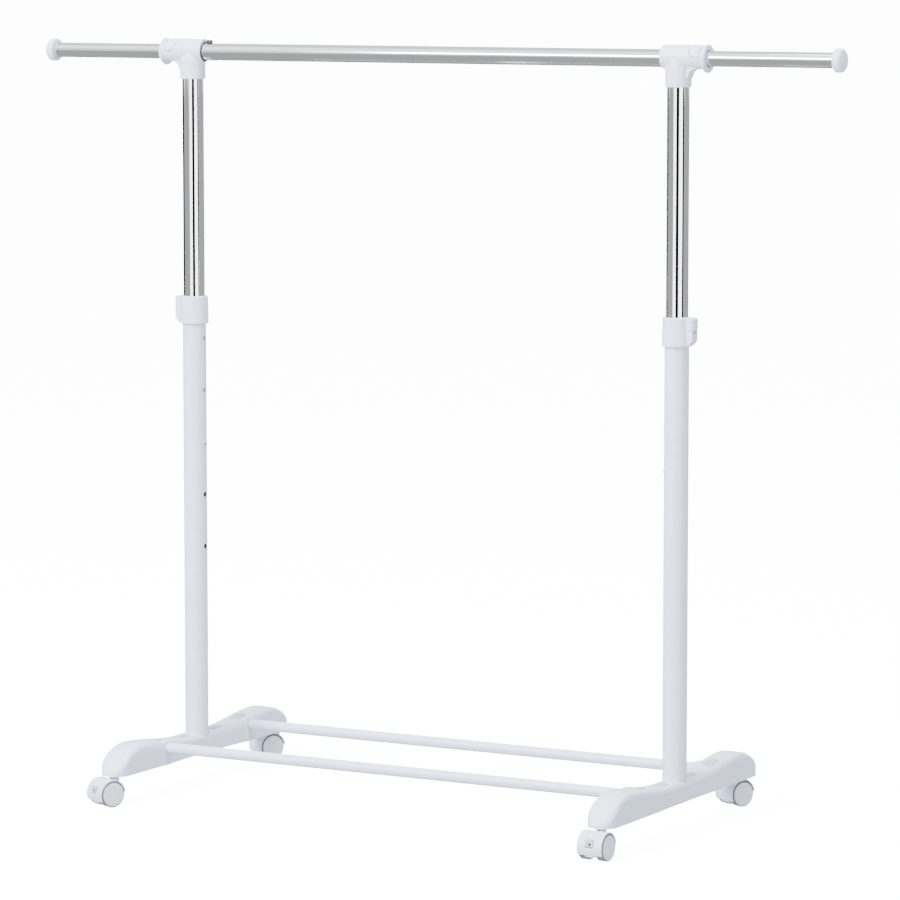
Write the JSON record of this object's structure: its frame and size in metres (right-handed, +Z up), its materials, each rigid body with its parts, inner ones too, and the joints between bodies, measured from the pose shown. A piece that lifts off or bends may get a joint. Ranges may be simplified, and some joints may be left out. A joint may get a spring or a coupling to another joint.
{
  "type": "garment_rail",
  "caption": "White and chrome garment rail on twin-wheel casters, with height-adjustable posts, snap buttons, lever tees and pull-out end bars",
  "frame": {"origin": "on the floor, in the middle of the footprint at rest; the two uprights stand 12 mm behind it because the casters trail forward", "axes": "+X along the hanging bar to the right, +Y to the rear, +Z up"},
  "size_m": [1.308, 0.5091, 1.113],
  "materials": {
    "white_plastic": "satin moulded white, faint mottling",
    "white_paint": "smooth white powder coat",
    "chrome": "bright chrome plate",
    "bar_chrome": "polished chrome plate with faint draw lines",
    "zinc": "zinc-plated steel",
    "grey_plastic": "matt light grey",
    "black_plastic": "matt black",
    "wheel_plastic": "hard off-white nylon, lightly scuffed tread"
  },
  "bodies": {
    "base": {"cross_rod_front": "white_paint", "cross_rod_rear": "white_paint", "rod_screws": "zinc", "tube_plugs": "grey_plastic", "tube_bolts": "zinc", "collar_pins": "zinc", "caster_stems": "zinc", "foot_left": "white_plastic", "foot_caps_left": "grey_plastic", "lower_tube_left": "white_paint", "collar_left": "white_plastic", "foot_right": "white_plastic", "foot_caps_right": "grey_plastic", "lower_tube_right": "white_paint", "collar_right": "white_plastic"},
    "upper_frame": {"tee_pins": "zinc", "centre_bar": "bar_chrome", "bar_stop": "black_plastic", "post_left": "chrome", "post_plug_left": "white_plastic", "button_spring_left": "zinc", "tee_left": "white_plastic", "bar_bush_left": "black_plastic", "post_right": "chrome", "post_plug_right": "white_plastic", "button_spring_right": "zinc", "tee_right": "white_plastic", "bar_bush_right": "black_plastic"},
    "snap_button_left": {"snap_button_left": "chrome"},
    "collar_lever_left": {"collar_lever_left": "white_plastic"},
    "tee_lever_left": {"tee_lever_left": "white_plastic"},
    "extension_left": {"extension_left": "bar_chrome", "extension_plug_left": "black_plastic", "end_cap_left": "white_plastic"},
    "snap_button_right": {"snap_button_right": "chrome"},
    "collar_lever_right": {"collar_lever_right": "white_plastic"},
    "tee_lever_right": {"tee_lever_right": "white_plastic"},
    "extension_right": {"extension_right": "bar_chrome", "extension_plug_right": "black_plastic", "end_cap_right": "white_plastic"},
    "caster_front_left": {"caster_hood_front_left": "white_plastic", "caster_axle_front_left": "zinc", "brake_pins_front_left": "zinc"},
    "wheel_front_left_a": {"wheel_front_left_a": "wheel_plastic"},
    "wheel_front_left_b": {"wheel_front_left_b": "wheel_plastic"},
    "brake_lever_front_left": {"brake_lever_front_left": "grey_plastic"},
    "caster_front_right": {"caster_hood_front_right": "white_plastic", "caster_axle_front_right": "zinc", "brake_pins_front_right": "zinc"},
    "wheel_front_right_a": {"wheel_front_right_a": "wheel_plastic"},
    "wheel_front_right_b": {"wheel_front_right_b": "wheel_plastic"},
    "brake_lever_front_right": {"brake_lever_front_right": "grey_plastic"},
    "caster_rear_left": {"caster_hood_rear_left": "white_plastic", "caster_axle_rear_left": "zinc"},
    "wheel_rear_left_a": {"wheel_rear_left_a": "wheel_plastic"},
    "wheel_rear_left_b": {"wheel_rear_left_b": "wheel_plastic"},
    "caster_rear_right": {"caster_hood_rear_right": "white_plastic", "caster_axle_rear_right": "zinc"},
    "wheel_rear_right_a": {"wheel_rear_right_a": "wheel_plastic"},
    "wheel_rear_right_b": {"wheel_rear_right_b": "wheel_plastic"}
  },
  "joints": [
    {"name": "frame_height", "type": "slide", "parent": "base", "child": "upper_frame", "axis": [0, 0, 1], "range_m": [-0.156, 0.156], "deforming": ["snap_button_left", "snap_button_right"]},
    {"name": "button_press_left", "type": "slide", "parent": "upper_frame", "child": "snap_button_left", "axis": [-1, 0, 0], "range_m": [0, 0.0042], "stiffness_N_per_m": 1200, "springref_m": -0.002, "deforming": ["button_spring_left"]},
    {"name": "collar_lever_left", "type": "hinge", "parent": "base", "child": "collar_lever_left", "pos_m": [-0.426, 0.012, 0.7135], "axis": [0, -1, 0], "range_deg": [0, 75]},
    {"name": "tee_lever_left", "type": "hinge", "parent": "upper_frame", "child": "tee_lever_left", "pos_m": [-0.4392, 0.012, 1.1085], "axis": [0, -1, 0], "range_deg": [0, 80]},
    {"name": "extension_left", "type": "slide", "parent": "upper_frame", "child": "extension_left", "axis": [-1, 0, 0], "range_m": [-0.19, 0.15]},
    {"name": "button_press_right", "type": "slide", "parent": "upper_frame", "child": "snap_button_right", "axis": [1, 0, 0], "range_m": [0, 0.0042], "stiffness_N_per_m": 1200, "springref_m": -0.002, "deforming": ["button_spring_right"]},
    {"name": "collar_lever_right", "type": "hinge", "parent": "base", "child": "collar_lever_right", "pos_m": [0.426, 0.012, 0.7135], "axis": [0, 1, 0], "range_deg": [0, 75]},
    {"name": "tee_lever_right", "type": "hinge", "parent": "upper_frame", "child": "tee_lever_right", "pos_m": [0.4392, 0.012, 1.1085], "axis": [0, 1, 0], "range_deg": [0, 80]},
    {"name": "extension_right", "type": "slide", "parent": "upper_frame", "child": "extension_right", "axis": [1, 0, 0], "range_m": [-0.19, 0.15]},
    {"name": "swivel_front_left", "type": "hinge", "parent": "base", "child": "caster_front_left", "pos_m": [-0.4, -0.214, 0.0336], "axis": [0, 0, 1], "continuous": true},
    {"name": "roll_front_left_a", "type": "hinge", "parent": "caster_front_left", "child": "wheel_front_left_a", "pos_m": [-0.4059, -0.22725, 0.019], "axis": [0.9135, -0.4067, 0], "continuous": true},
    {"name": "roll_front_left_b", "type": "hinge", "parent": "caster_front_left", "child": "wheel_front_left_b", "pos_m": [-0.4059, -0.22725, 0.019], "axis": [0.9135, -0.4067, 0], "continuous": true},
    {"name": "brake_front_left", "type": "hinge", "parent": "caster_front_left", "child": "brake_lever_front_left", "pos_m": [-0.41371, -0.24479, 0.023], "axis": [0.9135, -0.4067, 0], "range_deg": [0, 20]},
    {"name": "swivel_front_right", "type": "hinge", "parent": "base", "child": "caster_front_right", "pos_m": [0.4, -0.214, 0.0336], "axis": [0, 0, 1], "continuous": true},
    {"name": "roll_front_right_a", "type": "hinge", "parent": "caster_front_right", "child": "wheel_front_right_a", "pos_m": [0.39949, -0.22849, 0.019], "axis": [0.9994, -0.0349, 0], "continuous": true},
    {"name": "roll_front_right_b", "type": "hinge", "parent": "caster_front_right", "child": "wheel_front_right_b", "pos_m": [0.39949, -0.22849, 0.019], "axis": [0.9994, -0.0349, 0], "continuous": true},
    {"name": "brake_front_right", "type": "hinge", "parent": "caster_front_right", "child": "brake_lever_front_right", "pos_m": [0.39882, -0.24768, 0.023], "axis": [0.9994, -0.0349, 0], "range_deg": [0, 20]},
    {"name": "swivel_rear_left", "type": "hinge", "parent": "base", "child": "caster_rear_left", "pos_m": [-0.4, 0.238, 0.0336], "axis": [0, 0, 1], "continuous": true},
    {"name": "roll_rear_left_a", "type": "hinge", "parent": "caster_rear_left", "child": "wheel_rear_left_a", "pos_m": [-0.40725, 0.22544, 0.019], "axis": [0.866, -0.5, 0], "continuous": true},
    {"name": "roll_rear_left_b", "type": "hinge", "parent": "caster_rear_left", "child": "wheel_rear_left_b", "pos_m": [-0.40725, 0.22544, 0.019], "axis": [0.866, -0.5, 0], "continuous": true},
    {"name": "swivel_rear_right", "type": "hinge", "parent": "base", "child": "caster_rear_right", "pos_m": [0.4, 0.238, 0.0336], "axis": [0, 0, 1], "continuous": true},
    {"name": "roll_rear_right_a", "type": "hinge", "parent": "caster_rear_right", "child": "wheel_rear_right_a", "pos_m": [0.39387, 0.22486, 0.019], "axis": [0.9063, -0.4226, 0], "continuous": true},
    {"name": "roll_rear_right_b", "type": "hinge", "parent": "caster_rear_right", "child": "wheel_rear_right_b", "pos_m": [0.39387, 0.22486, 0.019], "axis": [0.9063, -0.4226, 0], "continuous": true}
  ]
}
